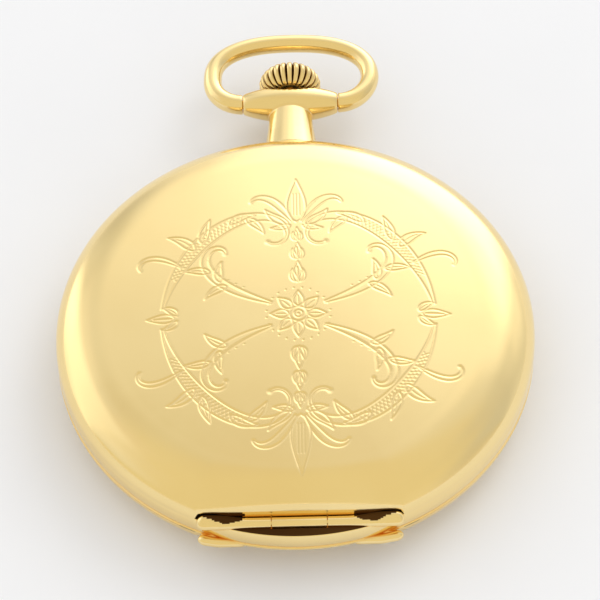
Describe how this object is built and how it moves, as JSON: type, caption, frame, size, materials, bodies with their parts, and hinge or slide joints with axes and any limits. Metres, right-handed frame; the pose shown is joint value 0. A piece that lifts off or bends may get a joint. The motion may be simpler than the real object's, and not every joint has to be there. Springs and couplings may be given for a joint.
{
  "type": "hunter pocket watch",
  "caption": "Round hunter pocket watch with a sprung lid, rear cover, bow, fluted crown, dial with small seconds, and a lever movement.",
  "frame": {"origin": "centre of the flat resting disc under the rear cover", "axes": "+Z out of the front lid, +Y towards the pendant and crown, +X to the right seen from the front"},
  "size_m": [0.052, 0.0692, 0.0122],
  "materials": {
    "case_gold": "polished yellow gold",
    "plate_nickel": "striped nickel",
    "wheel_brass": "gilt brass",
    "steel": "polished steel",
    "blued_steel": "heat blued",
    "dial_enamel": "white enamel",
    "crystal_glass": "clear glass"
  },
  "bodies": {
    "case": {"case_band": "case_gold", "pendant": "case_gold", "bezel": "case_gold", "crystal": "crystal_glass", "front_hinge_pin": "case_gold", "rear_hinge_pin": "case_gold", "case_screw_1": "steel", "case_screw_2": "steel", "dial": "dial_enamel", "main_plate": "plate_nickel", "barrel_bridge": "plate_nickel", "train_bridge": "plate_nickel", "balance_cock": "plate_nickel", "pallet_bridge": "plate_nickel", "barrel_bridge_screw_1": "steel", "barrel_bridge_screw_2": "steel", "train_bridge_screw_1": "steel", "train_bridge_screw_2": "steel", "cock_screw": "steel", "click_spring": "steel", "lid_lift_spring": "steel", "hairspring": "blued_steel"},
    "front_lid": {"front_lid": "case_gold"},
    "rear_cover": {"rear_cover": "case_gold"},
    "cuvette": {"cuvette": "case_gold"},
    "bow": {"bow": "case_gold"},
    "winding_pinion": {"winding_pinion": "steel"},
    "stem": {"winding_stem": "steel"},
    "crown": {"crown": "case_gold"},
    "sliding_pinion": {"sliding_pinion": "steel"},
    "release_sleeve": {"release_sleeve": "steel"},
    "lid_catch": {"lid_catch": "steel"},
    "yoke": {"yoke": "steel"},
    "setting_lever": {"setting_lever": "steel"},
    "crown_wheel": {"crown_wheel": "steel", "crown_wheel_screw": "steel"},
    "ratchet": {"ratchet_wheel": "steel", "barrel_arbor": "steel", "ratchet_screw": "steel"},
    "click": {"click": "steel"},
    "barrel": {"barrel": "wheel_brass", "barrel_cover": "wheel_brass", "mainspring": "steel"},
    "centre": {"centre_wheel": "wheel_brass", "cannon_pinion": "steel", "minute_hand": "blued_steel"},
    "third": {"third_wheel": "wheel_brass"},
    "fourth": {"fourth_wheel": "wheel_brass", "seconds_hand": "blued_steel"},
    "escape": {"escape_wheel": "steel"},
    "pallet_fork": {"pallet_fork": "steel"},
    "balance": {"balance_wheel": "wheel_brass"},
    "regulator": {"regulator": "steel"},
    "minute_wheel": {"minute_wheel": "wheel_brass"},
    "hour": {"hour_wheel": "wheel_brass", "hour_hand": "blued_steel"},
    "setting_wheel": {"setting_wheel": "steel"}
  },
  "joints": [
    {"name": "lid_hinge", "type": "hinge", "parent": "case", "child": "front_lid", "pos_m": [0, -0.0242, 0.00712], "axis": [1, 0, 0], "range_deg": [0, 100]},
    {"name": "rear_cover_hinge", "type": "hinge", "parent": "case", "child": "rear_cover", "pos_m": [0, -0.0242, 0.00473], "axis": [-1, 0, 0], "range_deg": [0, 100]},
    {"name": "cuvette_hinge", "type": "hinge", "parent": "case", "child": "cuvette", "pos_m": [0, -0.0242, 0.00473], "axis": [-1, 0, 0], "range_deg": [0, 80]},
    {"name": "bow_pivot", "type": "hinge", "parent": "case", "child": "bow", "pos_m": [0, 0.0331, 0.0059], "axis": [1, 0, 0], "range_deg": [-100, 100]},
    {"name": "crown_turn", "type": "hinge", "parent": "case", "child": "winding_pinion", "pos_m": [0, 0.0171, 0.0059], "axis": [0, 1, 0], "continuous": true},
    {"name": "crown_pull", "type": "slide", "parent": "winding_pinion", "child": "stem", "axis": [0, 1, 0], "range_m": [0, 0.0009]},
    {"name": "crown_press", "type": "slide", "parent": "stem", "child": "crown", "axis": [0, 1, 0], "range_m": [-0.0005, 0]},
    {"name": "clutch_slide", "type": "slide", "parent": "winding_pinion", "child": "sliding_pinion", "axis": [0, 1, 0], "range_m": [-0.00072, 0]},
    {"name": "yoke_pivot", "type": "hinge", "parent": "case", "child": "yoke", "pos_m": [-0.0054, 0.01542, 0.0075], "axis": [0, 0, -1], "range_deg": [0, 9.5]},
    {"name": "setting_lever_pivot", "type": "hinge", "parent": "case", "child": "setting_lever", "pos_m": [-0.0049, 0.0194, 0.0075], "axis": [0, 0, 1], "range_deg": [0, 11]},
    {"name": "sleeve_slide", "type": "slide", "parent": "case", "child": "release_sleeve", "axis": [0, 1, 0], "range_m": [-0.0005, 0]},
    {"name": "catch_slide", "type": "slide", "parent": "case", "child": "lid_catch", "axis": [0, 1, 0], "range_m": [-0.0002, 0]},
    {"name": "crown_wheel_turn", "type": "hinge", "parent": "case", "child": "crown_wheel", "pos_m": [0, 0.013, 0.0032], "axis": [0, 0, 1], "continuous": true},
    {"name": "ratchet_turn", "type": "hinge", "parent": "case", "child": "ratchet", "pos_m": [-0.00918, 0.00428, 0.0032], "axis": [0, 0, 1], "continuous": true},
    {"name": "click_pivot", "type": "hinge", "parent": "case", "child": "click", "pos_m": [-0.0122, -0.004, 0.0032], "axis": [0, 0, 1], "range_deg": [0, 8]},
    {"name": "seconds_turn", "type": "hinge", "parent": "case", "child": "fourth", "pos_m": [0.0094, 0, 0.005], "axis": [0, 0, -1], "continuous": true},
    {"name": "third_turn", "type": "hinge", "parent": "case", "child": "third", "pos_m": [0.00597, 0.00547, 0.005], "axis": [0, 0, -1], "continuous": true},
    {"name": "centre_turn", "type": "hinge", "parent": "case", "child": "centre", "pos_m": [0, 0, 0.005], "axis": [0, 0, -1], "continuous": true},
    {"name": "barrel_turn", "type": "hinge", "parent": "case", "child": "barrel", "pos_m": [-0.00918, 0.00428, 0.006], "axis": [0, 0, -1], "continuous": true},
    {"name": "escape_turn", "type": "hinge", "parent": "case", "child": "escape", "pos_m": [0.01037, -0.0055, 0.005], "axis": [0, 0, -1], "continuous": true},
    {"name": "minute_wheel_turn", "type": "hinge", "parent": "case", "child": "minute_wheel", "pos_m": [0.00132, 0.00558, 0.0075], "axis": [0, 0, -1], "continuous": true},
    {"name": "hour_turn", "type": "hinge", "parent": "case", "child": "hour", "pos_m": [0, 0, 0.008], "axis": [0, 0, -1], "continuous": true},
    {"name": "setting_wheel_turn", "type": "hinge", "parent": "case", "child": "setting_wheel", "pos_m": [0, 0.012, 0.0075], "axis": [0, 0, -1], "continuous": true},
    {"name": "fork_pivot", "type": "hinge", "parent": "case", "child": "pallet_fork", "pos_m": [0.00663, -0.00817, 0.0054], "axis": [0, 0, 1], "range_deg": [-5, 5]},
    {"name": "balance_swing", "type": "hinge", "parent": "case", "child": "balance", "pos_m": [0.001, -0.0122, 0.0045], "axis": [0, 0, 1], "range_deg": [-270, 270]},
    {"name": "regulator_pivot", "type": "hinge", "parent": "case", "child": "regulator", "pos_m": [0.001, -0.0122, 0.0028], "axis": [0, 0, 1], "range_deg": [-15, 15]}
  ],
  "couplings": [
    {"joint": "cuvette_hinge", "follows": "rear_cover_hinge", "ratio": 0.8},
    {"joint": "clutch_slide", "follows": "crown_pull", "ratio": -0.8},
    {"joint": "yoke_pivot", "follows": "crown_pull", "rad_per_m": 177.78},
    {"joint": "setting_lever_pivot", "follows": "crown_pull", "rad_per_m": 204.08},
    {"joint": "sleeve_slide", "follows": "crown_press", "ratio": 1},
    {"joint": "catch_slide", "follows": "crown_press", "ratio": 0.4},
    {"joint": "crown_wheel_turn", "follows": "crown_turn", "ratio": 0.5},
    {"joint": "ratchet_turn", "follows": "crown_turn", "ratio": -0.34615},
    {"joint": "third_turn", "follows": "seconds_turn", "ratio": -0.13333},
    {"joint": "centre_turn", "follows": "seconds_turn", "ratio": 0.016667},
    {"joint": "barrel_turn", "follows": "seconds_turn", "ratio": -0.0020833},
    {"joint": "escape_turn", "follows": "seconds_turn", "ratio": -10},
    {"joint": "minute_wheel_turn", "follows": "seconds_turn", "ratio": -0.0055556},
    {"joint": "hour_turn", "follows": "seconds_turn", "ratio": 0.0013889},
    {"joint": "setting_wheel_turn", "follows": "seconds_turn", "ratio": 0.011111}
  ]
}
